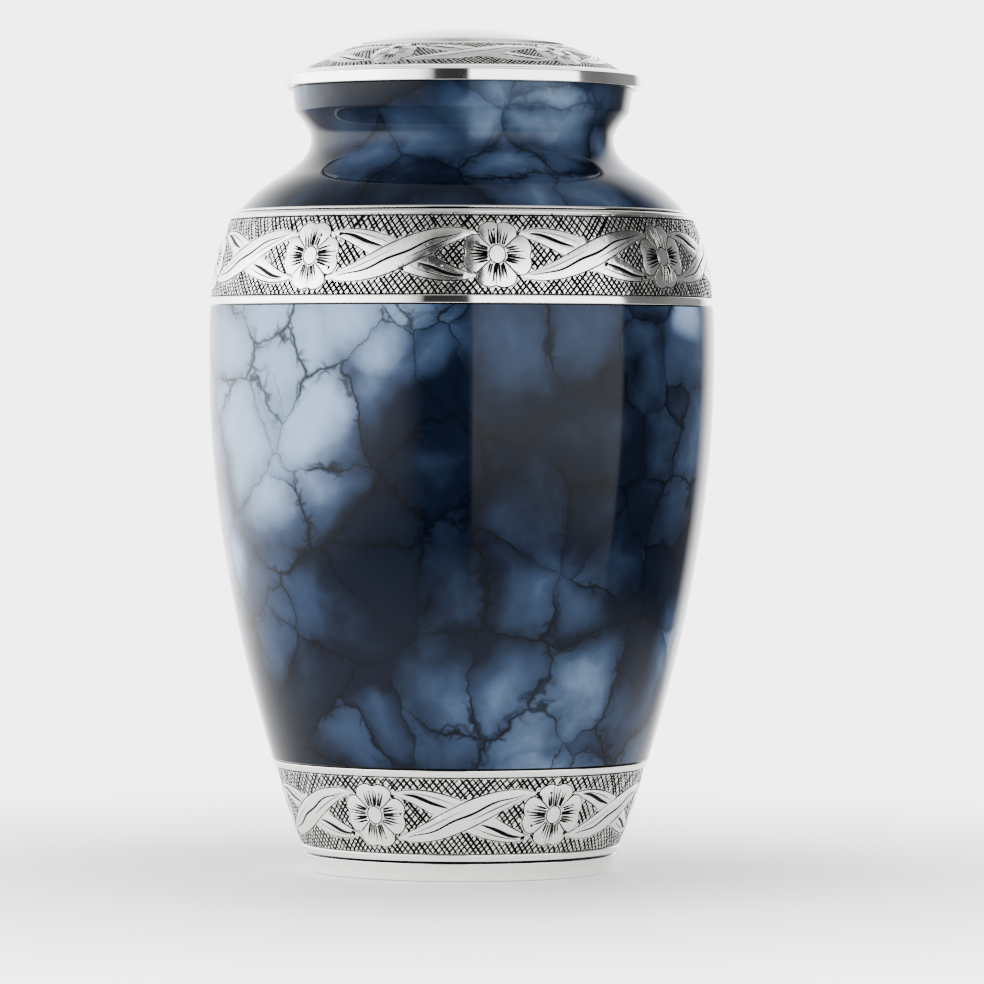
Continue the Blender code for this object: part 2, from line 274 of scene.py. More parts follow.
TURN_STEPS = 256
WELD = 0.002 * MM
PROBE = 0.01 * MM
TURNED_EDGE = 30.0
CARVED_EDGE = 24.0


def axis_distance(point):
    """Distance of a point from the urn's axis."""
    return math.hypot(point.x, point.y)


def spin_profile(profile, closed=False):
    """Bmesh of a section swept round the axis, facing out. A closed section makes a ring."""
    mesh = bmesh.new()
    verts = [mesh.verts.new((radius, 0.0, level)) for radius, level in profile]
    pairs = list(zip(verts, verts[1:]))
    if closed:
        pairs.append((verts[-1], verts[0]))
    edges = [mesh.edges.new(pair) for pair in pairs]
    bmesh.ops.spin(mesh, geom=verts + edges, cent=(0, 0, 0), axis=(0, 0, 1), dvec=(0, 0, 0),
                   angle=2 * math.pi, steps=TURN_STEPS, use_merge=True)
    bmesh.ops.remove_doubles(mesh, verts=mesh.verts, dist=WELD)
    bmesh.ops.recalc_face_normals(mesh, faces=mesh.faces)
    return mesh


def round_corners(points):
    """Section with arcs at its corners: a point may have a third number, its corner's radius."""
    section = []
    for index, point in enumerate(points):
        if len(point) == 2:
            section.append(point)
            continue
        here = Vector(point[:2])
        before = Vector(points[index - 1][:2]) - here
        after = Vector(points[(index + 1) % len(points)][:2]) - here
        reach = min(point[2], before.length * 0.49, after.length * 0.49)
        start, end = here + before.normalized() * reach, here + after.normalized() * reach
        steps = 5
        for step in range(steps + 1):
            t = step / steps
            spot = start * (1 - t) ** 2 + here * 2 * t * (1 - t) + end * t * t
            section.append((spot.x, spot.y))
    return section


def darken_grooves(mesh, spans, measure):
    """Mark the points in turned grooves as cut: spans of the measure, which is level or radius."""
    layer = mesh.verts.layers.float.new("cut")
    for vert in mesh.verts:
        value = measure(vert.co)
        if any(low <= value <= high for low, high in spans):
            vert[layer] = 1.0


def level_of(point):
    """Height of a point."""
    return point.z


def finish_piece(name, mesh, materials, node, sharp=TURNED_EDGE):
    """Object from a finished bmesh, smooth but for its sharp edges, standing for a node."""
    data = bpy.data.meshes.new(name)
    mesh.to_mesh(data)
    mesh.free()
    for material in materials:
        data.materials.append(material)
    data.shade_smooth()
    data.set_sharp_from_angle(angle=math.radians(sharp))
    piece = bpy.data.objects.new(name, data)
    bpy.context.scene.collection.objects.link(piece)
    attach(piece, "root")
    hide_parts(node)


# Engraving, drawn flat in millimetres: x along the band, y across it

class Cut:
    """One graver stroke: a row of points, its half width along it, and its depth."""

    def __init__(self, points, half_widths, depth):
        self.points = points
        self.half_widths = half_widths
        self.depth = depth


class Drawing:
    """The cuts and raised shapes of one band, round its whole circle.

    Cuts are pairs of half width and depth. Leaf lines are rows of start, end, share of the leaf's half
    width, and half width of the cut. Swells are pairs of height and the distance over which it builds up.
    """

    MARGIN_CUT = (0.26, 0.24)
    FLOWER_CUT = (0.20, 0.16)
    BOSS_CUT = (0.22, 0.20)
    PETAL_CUT = (0.24, 0.18)
    EDGE_CUT = 0.30
    GROUND_SHARE = 0.09
    SHAPE_EDGE = 0.12
    NOTCH, NOTCH_WIDTH, CURL = 0.85, 0.17, 2.4
    LEAF_FULLNESS = 0.8
    LEAF_LINES = ((0.10, 0.50, 0.50, 0.17), (0.52, 0.90, -0.48, 0.22))
    BLOOM_SWELL, OVER_SWELL, UNDER_SWELL = (0.32, 1.8), (0.24, 1.6), (0.16, 1.6)
    PETALS, PETAL_STROKES = 4, 7
    HATCHES = ((-0.72, 1.0, 1.0), (0.86, 0.86, 0.8))
    SHORTEST_HATCH = 0.9
    COLUMN_GAP, ROW_GAP, DETAIL_GAP = 2.2, 2.3, 1.25
    SNAP = 1e-5

    def __init__(self, sizes, place, seed, margin=0.0):
        self.random = random.Random(seed)
        self.circle = place.circle
        self.height = place.height
        self.margin = margin
        self.field = self.height - margin
        self.flowers = place.flowers
        self.flower_radius = sizes.flower / MM
        self.leaf_half = sizes.leaf_width / MM / 2
        self.leaf_rise = sizes.leaf_rise / MM
        self.hatch_gap = sizes.hatch_gap / MM
        self.hatch_half = sizes.hatch_width / MM / 2
        self.cut_depth = sizes.cut_depth / MM
        self.ground_drop = sizes.ground_drop / MM
        self.pitch = self.circle / self.flowers
        self.cuts = []
        self.blooms = [self.make_bloom(index) for index in range(self.flowers)]
        self.leaves = [self.make_leaf(index, side) for index in range(self.flowers) for side in (-1, 1)]
        for bloom in self.blooms:
            self.cut_bloom(bloom)
        for leaf in self.leaves:
            self.cut_leaf(leaf)
        if margin:
            steps = round(self.circle / 3)
            line = [(self.circle * step / steps, self.field) for step in range(steps + 1)]
            self.add(line, *self.MARGIN_CUT)
        self.hatch()

    def wobble(self, size):
        """A small error, such as a graver makes."""
        return self.random.uniform(-size, size)

    def add(self, points, half, depth):
        """Add a stroke of even width."""
        self.cuts.append(Cut(points, [half] * len(points), depth))

    def make_bloom(self, index):
        """A flower's middle, size and turn, each a little off, as in engraved work."""
        middle = (self.pitch * (index + 0.5) + self.wobble(0.5), self.field / 2 + self.wobble(0.25))
        petals = [self.flower_radius * (1 + self.wobble(0.035)) for petal in range(self.PETALS)]
        return {"middle": middle, "petals": petals, "turn": self.wobble(0.07)}

    def petal_reach(self, bloom, angle):
        """How far a flower's outline is from its middle in a direction, or in an array of them."""
        quarter = (angle - bloom["turn"]) / (2 * math.pi / self.PETALS)
        petal = np.round(quarter)
        off = np.abs(quarter - petal) * 2
        petals = np.array(bloom["petals"])[petal.astype(int) % self.PETALS]
        return petals - self.NOTCH * np.exp(-(off / self.NOTCH_WIDTH) ** 2) - self.CURL * off ** 6

    def cut_bloom(self, bloom):
        """A flower's outline, boss, petal lines and the short strokes that shade each petal."""
        x, y = bloom["middle"]

        def spot(angle, reach):
            return (x + reach * math.cos(angle), y + reach * math.sin(angle))

        steps = 72
        turns = [2 * math.pi * step / steps for step in range(steps)]
        ring = [spot(turn, self.petal_reach(bloom, turn)) for turn in turns]
        self.add(ring + ring[:1], *self.FLOWER_CUT)
        boss = [(x + 2.4 * math.cos(turn), y + 2.8 * math.sin(turn)) for turn in turns[::3]]
        self.add(boss + boss[:1], *self.BOSS_CUT)
        for petal in range(self.PETALS):
            axis = bloom["turn"] + petal * 2 * math.pi / self.PETALS
            gap = axis + math.pi / self.PETALS
            reach = self.petal_reach(bloom, gap)
            middle = spot(gap + self.wobble(0.03), (3.0 + reach) / 2)
            self.add([spot(gap, 3.0), middle, spot(gap, reach)], *self.PETAL_CUT)
            for stroke in range(self.PETAL_STROKES):
                side = (stroke + 0.5) / self.PETAL_STROKES * 2 - 1 + self.wobble(0.05)
                start = spot(axis + side * 0.66, 3.2 + 0.5 * abs(side) + self.wobble(0.15))
                end = spot(axis + side * 0.50, 7.9 - 1.1 * abs(side) + self.wobble(0.8))
                middle = ((start[0] + end[0]) / 2, (start[1] + end[1]) / 2)
                half = 0.38 + self.wobble(0.08)
                self.cuts.append(Cut([start, middle, end], [half * 0.9, half, half * 0.35], 0.28))

    def make_leaf(self, index, side):
        """A leaf from one flower to the next: side 1 climbs and lies on top, -1 falls under it."""
        start = self.blooms[index]["middle"][0]
        end = self.blooms[(index + 1) % self.flowers]["middle"][0]
        if index == self.flowers - 1:
            end += self.circle
        tuck = self.flower_radius * 0.62
        return {"start": start + tuck, "end": end - tuck, "side": side,
                "rise": self.leaf_rise + self.wobble(0.3), "half": self.leaf_half * (1 + self.wobble(0.06)),
                "lean": self.wobble(0.04)}

    def leaf_line(self, leaf, t):
        """Point and slope of a leaf's middle line at t, which runs along it and may be an array."""
        run = leaf["end"] - leaf["start"]
        bend = leaf["side"] * leaf["rise"]
        slope = bend * math.pi * np.sin(math.pi * t) / run
        return leaf["start"] + run * t, self.field / 2 - bend * np.cos(math.pi * t), slope

    def leaf_spot(self, leaf, t, across):
        """Point of a leaf, measured across from its middle line."""
        x, y, slope = self.leaf_line(leaf, t)
        scale = across / math.hypot(1, slope)
        return (x - slope * scale, y + scale)

    def leaf_width(self, leaf, t):
        """Half width of a leaf at t, fullest a little past its middle."""
        lean = t + leaf["lean"] * np.sin(math.pi * t)
        return leaf["half"] * np.clip(np.sin(math.pi * lean), 0, 1) ** self.LEAF_FULLNESS

    def inside_leaf(self, leaf, x, y):
        """How deep points are inside a leaf, less than nothing outside. x and y are arrays."""
        run = leaf["end"] - leaf["start"]
        t = np.clip((x - leaf["start"]) / run, 0.0, 1.0)
        for _ in range(3):
            _, line_y, slope = self.leaf_line(leaf, t)
            shift = (y - line_y) * slope / (1 + slope ** 2)
            t = np.clip((x + shift - leaf["start"]) / run, 0.0, 1.0)
        line_x, line_y, slope = self.leaf_line(leaf, t)
        return self.leaf_width(leaf, t) - np.hypot(x - line_x, y - line_y)

    def inside_bloom(self, bloom, x, y):
        """How deep points are inside a flower. x and y are arrays."""
        dx, dy = x - bloom["middle"][0], y - bloom["middle"][1]
        return self.petal_reach(bloom, np.arctan2(dy, dx)) - np.hypot(dx, dy)

    def shape_depths(self, x, y):
        """Depth inside the flowers, the top leaves and the under leaves, as three arrays."""
        far = -np.full(x.shape, 99.0)
        blooms, over, under = far.copy(), far.copy(), far.copy()
        for shift in (-self.circle, 0.0, self.circle):
            moved = x - shift
            for bloom in self.blooms:
                near = np.abs(moved - bloom["middle"][0]) < self.flower_radius * 1.3
                blooms[near] = np.maximum(blooms[near], self.inside_bloom(bloom, moved[near], y[near]))
            for leaf in self.leaves:
                near = (moved > leaf["start"] - 1) & (moved < leaf["end"] + 1)
                target = over if leaf["side"] > 0 else under
                target[near] = np.maximum(target[near], self.inside_leaf(leaf, moved[near], y[near]))
        return blooms, over, under

    def visible_runs(self, points, hidden):
        """Stretches of a row of points where the hidden test is false."""
        runs, run = [], []
        for point, covered in zip(points, hidden):
            if covered:
                if len(run) > 1:
                    runs.append(run)
                run = []
            else:
                run.append(point)
        if len(run) > 1:
            runs.append(run)
        return runs

    def cut_leaf(self, leaf):
        """A leaf's two edges and the swelling stroke along its middle, where nothing covers them."""
        steps = 64
        lines = []
        for edge in (-1, 1):
            lines.append(([self.leaf_spot(leaf, step / steps, edge * self.leaf_width(leaf, step / steps))
                           for step in range(steps + 1)], 0.22, 0.17))
        middle = [self.leaf_spot(leaf, 0.07 + 0.86 * step / steps, 0.25 * math.sin(step * 0.3))
                  for step in range(steps + 1)]
        lines.append((middle, 0.42 if leaf["side"] > 0 else 0.72, 0.25))
        for start, end, share, half in self.LEAF_LINES:
            line = [self.leaf_spot(leaf, t, share * self.leaf_width(leaf, t)) for t in even(start, end, 32)]
            lines.append((line, half, 0.18))
        for line, half, depth in lines:
            x, y = np.array(line).T
            blooms, over, under = self.shape_depths(x, y)
            hidden = blooms > -0.1
            if leaf["side"] < 0:
                hidden |= over > -0.1
            for run in self.visible_runs(line, hidden):
                if len(run) < 4:
                    continue
                cut_run = run[::2] + ([run[-1]] if len(run) % 2 == 0 else [])
                last = len(cut_run) - 1
                halves = [half * (0.3 + 0.7 * math.sin(math.pi * step / last)) for step in range(last + 1)]
                halves[0] = halves[last] = 0.0
                self.cuts.append(Cut(cut_run, halves, depth))

    def hatch(self):
        """Two families of slanting cuts over the ground, stopped at the flowers and leaves."""
        step = 0.2
        for lean, gap_share, share in self.HATCHES:
            count = round(self.circle / self.hatch_gap / gap_share)
            gap = self.circle / count
            for line in range(count):
                foot = line * gap + self.wobble(gap * 0.13)
                tilt = lean + self.wobble(0.022)
                top = self.field - 0.1 + self.random.random() ** 2 * self.margin
                y = np.arange(0.1, top, step)
                x = foot + tilt * y
                blooms, over, under = self.shape_depths(x, y)
                covered = np.maximum.reduce((blooms, over, under)) > -self.SHAPE_EDGE
                for run in self.visible_runs(list(zip(x, y)), covered):
                    if len(run) * step < self.SHORTEST_HATCH:
                        continue
                    self.hatch_stroke(run[0], run[-1], share)

    def hatch_stroke(self, start, end, share):
        """One hatching cut, thin at its ends."""
        start, end = Vector(start), Vector(end)
        along = end - start
        taper = min(0.5, along.length * 0.3)
        step = along.normalized() * taper
        half = self.hatch_half * share * (1 + self.wobble(0.25))
        points = [tuple(start), tuple(start + step), tuple(end - step), tuple(end)]
        depth = self.cut_depth * (1 + self.wobble(0.15))
        self.cuts.append(Cut(points, [half * 0.25, half, half * (1 + self.wobble(0.2)), half * 0.2], depth))

    def surface(self, x, y):
        """Height of the ground, the flowers and the leaves before they are cut."""
        blooms, over, under = self.shape_depths(x, y)
        shapes = np.maximum.reduce((blooms, over, under))
        rise = np.clip((shapes + self.SHAPE_EDGE) / 0.30, 0, 1)
        ground = np.clip((self.field - y) / 0.2, 0, 1)
        height = -self.ground_drop * ground * (1 - rise * rise * (3 - 2 * rise))
        swells = ((blooms, *self.BLOOM_SWELL), (over, *self.OVER_SWELL), (under, *self.UNDER_SWELL))
        domes = [top * (1 - np.exp(-np.clip(inside, 0, None) / reach)) for inside, top, reach in swells]
        return height + np.select((blooms > 0, over > 0, under > 0), domes, 0.0)

    def cutting(self, x, y):
        """Depth of the cuts at points, the deepest where they cross, and how far in a cut each is."""
        order = np.argsort(x)
        sorted_x, sorted_y = x[order], y[order]
        depth, inside = np.zeros((2, len(x)))
        for cut in self.cuts:
            for shift in (-self.circle, 0.0, self.circle):
                for index in range(len(cut.points) - 1):
                    self.cut_segment(cut, index, shift, sorted_x, sorted_y, depth, inside)
        results = np.zeros((2, len(x)))
        results[:, order] = depth, inside
        return results

    def cut_segment(self, cut, index, shift, x, y, depth, inside):
        """Deepen the points under one straight piece of a cut."""
        (x0, y0), (x1, y1) = cut.points[index], cut.points[index + 1]
        w0, w1 = cut.half_widths[index], cut.half_widths[index + 1]
        wide = max(w0, w1)
        x0, x1 = x0 + shift, x1 + shift
        low, high = np.searchsorted(x, (min(x0, x1) - wide, max(x0, x1) + wide))
        if low == high:
            return
        px, py = x[low:high], y[low:high]
        run, rise = x1 - x0, y1 - y0
        squared = run * run + rise * rise
        if squared < 1e-12:
            return
        t = np.clip(((px - x0) * run + (py - y0) * rise) / squared, 0, 1)
        half = w0 + (w1 - w0) * t
        off = np.hypot(px - x0 - run * t, py - y0 - rise * t)
        full = max(max(cut.half_widths), 1e-9)
        share = np.clip(1 - off / np.maximum(half, 1e-9), 0, 1)
        np.maximum(depth[low:high], cut.depth * share * half / full, out=depth[low:high])
        np.maximum(inside[low:high], share, out=inside[low:high])

    def net(self):
        """Points and edges of all cuts, with a grid that follows the band's curve."""
        verts, edges = [], []

        def chain(points):
            first = len(verts)
            verts.extend(Vector(point) for point in points)
            edges.extend((first + step, first + step + 1) for step in range(len(points) - 1))

        for cut in self.cuts:
            left, right = [], []
            last = len(cut.points) - 1
            for index, (px, py) in enumerate(cut.points):
                ax, ay = cut.points[max(index - 1, 0)]
                bx, by = cut.points[min(index + 1, last)]
                if cut.points[0] == cut.points[last] and index in (0, last):
                    (ax, ay), (bx, by) = cut.points[last - 1], cut.points[1]
                run = math.hypot(bx - ax, by - ay)
                nx, ny = (ay - by) / run, (bx - ax) / run
                half = cut.half_widths[index]
                left.append((px + nx * half, py + ny * half))
                right.append((px - nx * half, py - ny * half))
            xs = [point[0] for point in left + right]
            for shift in (-self.circle, 0.0, self.circle):
                if max(xs) + shift < -1.0 or min(xs) + shift > self.circle + 1.0:
                    continue
                for line in (left, cut.points, right):
                    chain([(px + shift, self.keep_in(py)) for px, py in line])
        columns = round(self.circle / self.COLUMN_GAP)
        rows = max(1, round(self.height / self.ROW_GAP))
        for column in range(columns + 1):
            x = self.circle * column / columns
            chain([(x, self.height * row / rows) for row in range(rows + 1)])
        for level in (0.0, self.EDGE_CUT, self.height - self.EDGE_CUT, self.height):
            chain([(self.circle * column / columns, level) for column in range(columns + 1)])
        verts.extend(self.detail_points())
        return verts, edges

    def keep_in(self, y):
        """A height held between the band's two edge cuts."""
        return min(max(y, self.EDGE_CUT * 0.5), self.height - self.EDGE_CUT * 0.5)

    def detail_points(self):
        """Extra points inside the flowers and leaves, where their faces swell."""
        columns = int(self.circle / self.DETAIL_GAP)
        rows = int(self.height / self.DETAIL_GAP)
        x, y = np.meshgrid((np.arange(columns) + 0.5) * self.circle / columns,
                           (np.arange(rows) + 0.5) * self.height / rows)
        x = (x + (np.arange(rows) % 2)[:, None] * self.DETAIL_GAP / 2).ravel()
        y = y.ravel()
        inside = np.maximum.reduce(self.shape_depths(x, y)) > 0.35
        inside &= x < self.circle - self.SNAP
        return [Vector(point) for point in zip(x[inside], y[inside])]

    def triangulate(self):
        """Flat points, their heights and cut shares, and the triangles between them."""
        verts, edges = self.net()
        flat, _, faces, *_ = delaunay_2d_cdt(verts, edges, [], 0, self.SNAP, False)
        flat = np.array([tuple(vert) for vert in flat])
        faces = np.array(faces)
        middle = flat[faces].mean(axis=1)
        keep = (middle[:, 0] > 0) & (middle[:, 0] < self.circle)
        keep &= (middle[:, 1] > 0) & (middle[:, 1] < self.height)
        faces = faces[keep]
        used, faces = np.unique(faces, return_inverse=True)
        flat = flat[used]
        faces = faces.reshape(-1, 3)
        x, y = flat.T
        cutting, share = self.cutting(x, y)
        border = y if self.margin else np.minimum(y, self.height - y)
        edge = np.clip(1 - border / self.EDGE_CUT, 0, 1)
        cutting = np.maximum(cutting, edge * self.cut_depth)
        ground = (np.maximum.reduce(self.shape_depths(x, y)) < 0) & (y < self.field)
        share = np.maximum.reduce((share, edge, np.where(ground, self.GROUND_SHARE, 0.0)))
        return flat, self.surface(x, y) - cutting, share, faces


def carve_band(name, node, drawing, place, thickness):
    """Engraved ring: the drawing wrapped on its band, and closed behind."""
    flat, heights, shares, faces = drawing.triangulate()
    points = [place(x, y, height) for (x, y), height in zip(flat, heights)]
    mesh = bmesh.new()
    cut_layer = mesh.verts.layers.float.new("cut")
    verts = [mesh.verts.new(point) for point in points]
    for vert, share in zip(verts, shares):
        vert[cut_layer] = share
    for a, b, c in faces:
        mesh.faces.new((verts[a], verts[b], verts[c]))
    bmesh.ops.remove_doubles(mesh, verts=mesh.verts, dist=WELD)
    border = [edge for edge in mesh.edges if edge.is_boundary]
    sides = bmesh.ops.extrude_edge_only(mesh, edges=border)["geom"]
    inner = [item for item in sides if isinstance(item, bmesh.types.BMVert)]
    for vert in inner:
        vert.co = place.sink(vert.co, thickness)
        vert[cut_layer] = 0.0
    rims = [item for item in sides if isinstance(item, bmesh.types.BMEdge) and item.is_boundary]
    bmesh.ops.bridge_loops(mesh, edges=rims)
    bmesh.ops.recalc_face_normals(mesh, faces=mesh.faces)
    finish_piece(name, mesh, [finish(engraved_metal)], node, CARVED_EDGE)


class WallPlace:
    """Wraps a drawing on the vessel's wall between two levels."""

    def __init__(self, outline, low, high, flowers, turn, drop=0.0):
        self.outline = outline
        self.low = low
        self.high = high
        self.flowers = flowers
        self.turn = turn
        self.drop = drop
        radius = outline.radius((low + high) / 2) - drop
        self.circle = 2 * math.pi * radius / MM
        steps = outline.curve(low, high, 24)
        self.height = sum(math.dist(a, b) for a, b in zip(steps, steps[1:])) / MM

    def section(self, y):
        """Radius and level at a height up the drawing, and the direction out of the wall."""
        level = self.low + (self.high - self.low) * y / self.height
        radius = self.outline.radius(level)
        slope = (radius - self.outline.radius(level - PROBE)) / PROBE
        out = Vector((1.0, -slope)).normalized()
        return radius - self.drop, level, out

    def __call__(self, x, y, height):
        """The place of a drawn point: x along the band, y across it and its height off the ground."""
        radius, level, out = self.section(y)
        radius += out.x * height * MM
        level += out.y * height * MM
        angle = self.turn + 2 * math.pi * (x / self.circle - 0.5 / self.flowers)
        return Vector((radius * math.cos(angle), radius * math.sin(angle), level))

    def sink(self, point, thickness):
        """A point moved straight in towards the axis."""
        share = 1 - thickness / axis_distance(point)
        return Vector((point.x * share, point.y * share, point.z))


class DomePlace(WallPlace):
    """Wraps a drawing on the lid's dome between two radii."""

    def __init__(self, dome, flowers, turn, scale):
        self.dome = dome
        self.flowers = flowers
        self.turn = turn
        self.circle = 2 * math.pi * (dome.inner + dome.outer) / 2 / MM / scale
        self.height = math.dist(*dome.curve(dome.inner, dome.outer, 1)) / MM / scale

    def section(self, y):
        """Radius and level at a distance in from the field's outer edge, and the direction out."""
        radius = self.dome.outer + (self.dome.inner - self.dome.outer) * y / self.height
        out = Vector((radius, math.sqrt(self.dome.sphere ** 2 - radius ** 2))).normalized()
        return radius, self.dome.level(radius), out

    def sink(self, point, thickness):
        """A point moved straight down."""
        return Vector((point.x, point.y, point.z - thickness))


# Materials

class Nodes:
    """Node tree of a material or world, with one function that adds a node with its links."""

    def __init__(self, owner, shader):
        owner.use_nodes = True
        self.owner = owner
        self.tree = owner.node_tree
        self.shader = self.tree.nodes[shader]

    def add(self, kind, inputs=(), stops=(), **settings):
        """Add a node with its settings, its inputs and a ramp's stops, and give its outputs."""
        node = self.tree.nodes.new("ShaderNode" + kind)
        for name, value in settings.items():
            setattr(node, name, value)
        while stops and len(node.color_ramp.elements) < len(stops):
            node.color_ramp.elements.new(0.5)
        for index, (position, tint) in enumerate(stops):
            node.color_ramp.elements[index].position = position
            node.color_ramp.elements[index].color = tint
        self.set(node, inputs)
        return node.outputs

    def set(self, node, inputs):
        """Set or link a node's inputs, which are listed in its own order or by name."""
        for key, value in inputs.items() if isinstance(inputs, dict) else enumerate(inputs):
            if isinstance(value, bpy.types.NodeSocket):
                self.tree.links.new(value, node.inputs[key])
            else:
                node.inputs[key].default_value = value


def new_material(name):
    """Nodes of a new material."""
    return Nodes(bpy.data.materials.new(name), "Principled BSDF")


def per_metre(millimetres):
    """Texture scale that gives features of about a size."""
    return 1 / (millimetres * MM)


def opaque(rgb):
    """Colour with its alpha."""
    return (*rgb, 1.0)


def push(n, place, about, size, roughness, reach):
    """Coordinates moved about by noise of a size in millimetres, by at most half a reach."""
    noise = n.add("TexNoise", {"Vector": about, "Scale": per_metre(size), "Detail": 3.0,
                               "Roughness": roughness})["Color"]
    offset = n.add("VectorMath", (noise, (0.5, 0.5, 0.5)), operation="SUBTRACT")[0]
    return n.add("VectorMath", (offset, (reach, reach, reach), place), operation="MULTIPLY_ADD")[0]


SMOOTH = {"interpolation_type": "SMOOTHSTEP"}
CELL = {"Scale": per_metre(25), "Randomness": 0.9}
TONE_SHARE = 0.14
MIST_SHARE = 0.34

# Pale clouds of the enamel, partly painted sheen, each with its middle and its reach in metres, and its
# strength
PALE_CLOUDS_AND_PAINTED_SHEEN = (
    # The first cloud and the others on the front's left are real pale clouds and partly painted sheen: they
    # lighten the enamel where the strong light from the left falls.
    ((-0.060, -0.050, 0.148), (0.040, 0.060, 0.052), 1.0),
    ((-0.054, -0.036, 0.080), (0.022, 0.040, 0.026), 0.28),
    ((0.026, -0.060, 0.050), (0.040, 0.040, 0.024), 0.44),
    ((0.028, -0.060, 0.084), (0.020, 0.030, 0.018), 0.28),
    ((-0.020, -0.050, 0.044), (0.024, 0.030, 0.012), 0.26),
    ((-0.028, -0.068, 0.166), (0.026, 0.030, 0.022), 0.85),
    ((-0.014, -0.070, 0.160), (0.018, 0.030, 0.016), 0.46),
    ((0.020, -0.070, 0.168), (0.044, 0.030, 0.024), 0.24),
    ((0.026, -0.056, 0.230), (0.036, 0.040, 0.018), 0.66),
    ((0.018, -0.048, 0.212), (0.022, 0.030, 0.009), 0.40),
    ((0.034, -0.054, 0.202), (0.030, 0.030, 0.010), 0.32),
    ((-0.026, -0.050, 0.218), (0.030, 0.030, 0.012), 0.30),
    ((0.072, -0.030, 0.145), (0.026, 0.040, 0.060), 0.25),
    ((0.045, 0.055, 0.095), (0.040, 0.040, 0.040), 0.9),
    ((-0.030, 0.062, 0.150), (0.036, 0.040, 0.030), 0.7),
)


def marbled_enamel(colors):
    """Stove enamel dabbed in clouds of blue, veined with navy, under a thick clear coat.

    The clear coat gives sharp reflections over soft clouds that have no edge but the veins.
    """
    n = new_material("marbled_blue_enamel")
    place = n.add("TexCoord")["Object"]
    warped = push(n, place, place, 34, 0.56, 22 * MM)
    frayed = push(n, warped, place, 3.4, 0.6, 2.5 * MM)
    cells = n.add("TexVoronoi", {"Vector": frayed, **CELL}, feature="DISTANCE_TO_EDGE")["Distance"]
    cell_color = n.add("TexVoronoi", {"Vector": warped, **CELL})["Color"]
    tone = n.add("SeparateColor", (cell_color,))[0]
    clouds = n.add("TexNoise", {"Vector": place, "Scale": per_metre(75), "Detail": 2.0,
                                "Roughness": 0.45})["Fac"]
    mist = n.add("TexNoise", {"Vector": warped, "Scale": per_metre(16), "Detail": 4.0,
                              "Roughness": 0.55})["Fac"]

    # How light each place is: the large clouds with their painted sheen, each cell's swell and tone, and
    # fine mist
    light = n.add("MapRange", (clouds, 0.52, 0.72), **SMOOTH)[0]
    # Each listed cloud lightens the enamel; the front-left ones do so partly as painted sheen
    for middle, reach, strength in PALE_CLOUDS_AND_PAINTED_SHEEN:
        away = n.add("VectorMath", (warped, middle), operation="SUBTRACT")[0]
        shares = n.add("VectorMath", (away, reach), operation="DIVIDE")[0]
        far = n.add("VectorMath", (shares,), operation="LENGTH")["Value"]
        cloud_and_sheen = n.add("MapRange", (far, 0.35, 1.15, strength, 0.0), **SMOOTH)[0]
        light = n.add("Math", (light, cloud_and_sheen), operation="MAXIMUM")[0]
    swell = n.add("Math", (light, 0.14, 0.08), operation="MULTIPLY_ADD")[0]
    inside = n.add("MapRange", (cells, 0.02, 0.30), **SMOOTH)[0]
    centre = n.add("Math", (inside, swell), operation="MULTIPLY")[0]
    level = n.add("Math", (light, 0.78, centre), operation="MULTIPLY_ADD")[0]
    level = n.add("Math", (tone, TONE_SHARE, level), operation="MULTIPLY_ADD")[0]
    level = n.add("Math", (mist, MIST_SHARE, level), operation="MULTIPLY_ADD")[0]
    level = n.add("Math", (level, (TONE_SHARE + MIST_SHARE) / 2), operation="SUBTRACT")[0]
    lower = n.add("MapRange", (level, 0.0, 0.38), **SMOOTH)[0]
    upper = n.add("MapRange", (level, 0.28, 0.98), **SMOOTH)[0]
    blues = n.add("Mix", {"Factor": lower, "A": opaque(colors.enamel_deep),
                          "B": opaque(colors.enamel_middle)}, data_type="RGBA")["Result"]
    blues = n.add("Mix", {"Factor": upper, "A": blues, "B": opaque(colors.enamel_light)},
                  data_type="RGBA")["Result"]

    # Veins between the cells, thick in patches, with small islets beside them there
    patches = n.add("TexNoise", {"Vector": place, "Scale": per_metre(28), "Detail": 2.0})["Fac"]
    breaks = n.add("MapRange", (patches, 0.38, 0.60), **SMOOTH)[0]
    thick = n.add("Math", (breaks, 0.034, 0.012), operation="MULTIPLY_ADD")[0]
    line = n.add("MapRange", (cells, 0.0, thick, 1.0, 0.0), **SMOOTH)[0]
    strength = n.add("Math", (breaks, 0.25, 0.72), operation="MULTIPLY_ADD")[0]
    line = n.add("Math", (line, strength), operation="MULTIPLY")[0]
    islet_edges = n.add("TexVoronoi", {"Vector": frayed, "Scale": per_metre(7.5)},
                        feature="DISTANCE_TO_EDGE")["Distance"]
    islets = n.add("MapRange", (islet_edges, 0.0, 0.13, 0.85, 0.0), **SMOOTH)[0]
    beside = n.add("MapRange", (cells, 0.03, 0.12, 1.0, 0.0), **SMOOTH)[0]
    islets = n.add("Math", (islets, beside), operation="MULTIPLY")[0]
    islets = n.add("Math", (islets, breaks), operation="MULTIPLY")[0]
    veins = n.add("Math", (line, islets), operation="MAXIMUM")[0]

    # The veins are fainter on the collar, and each cell is shaded along its edge
    height = n.add("SeparateXYZ", (place,))[2]
    fading = n.add("MapRange", (height, 0.205, 0.228, 1.0, 0.5), **SMOOTH)[0]
    veins = n.add("Math", (veins, fading), operation="MULTIPLY")[0]
    shade = n.add("MapRange", (cells, 0.0, 0.08, 0.24, 0.0), **SMOOTH)[0]
    veins = n.add("Math", (veins, shade), operation="MAXIMUM")[0]
    tint = n.add("Mix", {"Factor": veins, "A": blues, "B": opaque(colors.vein)}, data_type="RGBA")["Result"]

    n.set(n.shader, {"Base Color": tint, "Roughness": 0.35, "Specular IOR Level": 0.0, "Coat Weight": 1.0,
                     "Coat Roughness": 0.02, "Coat IOR": 1.20})
    return n.owner


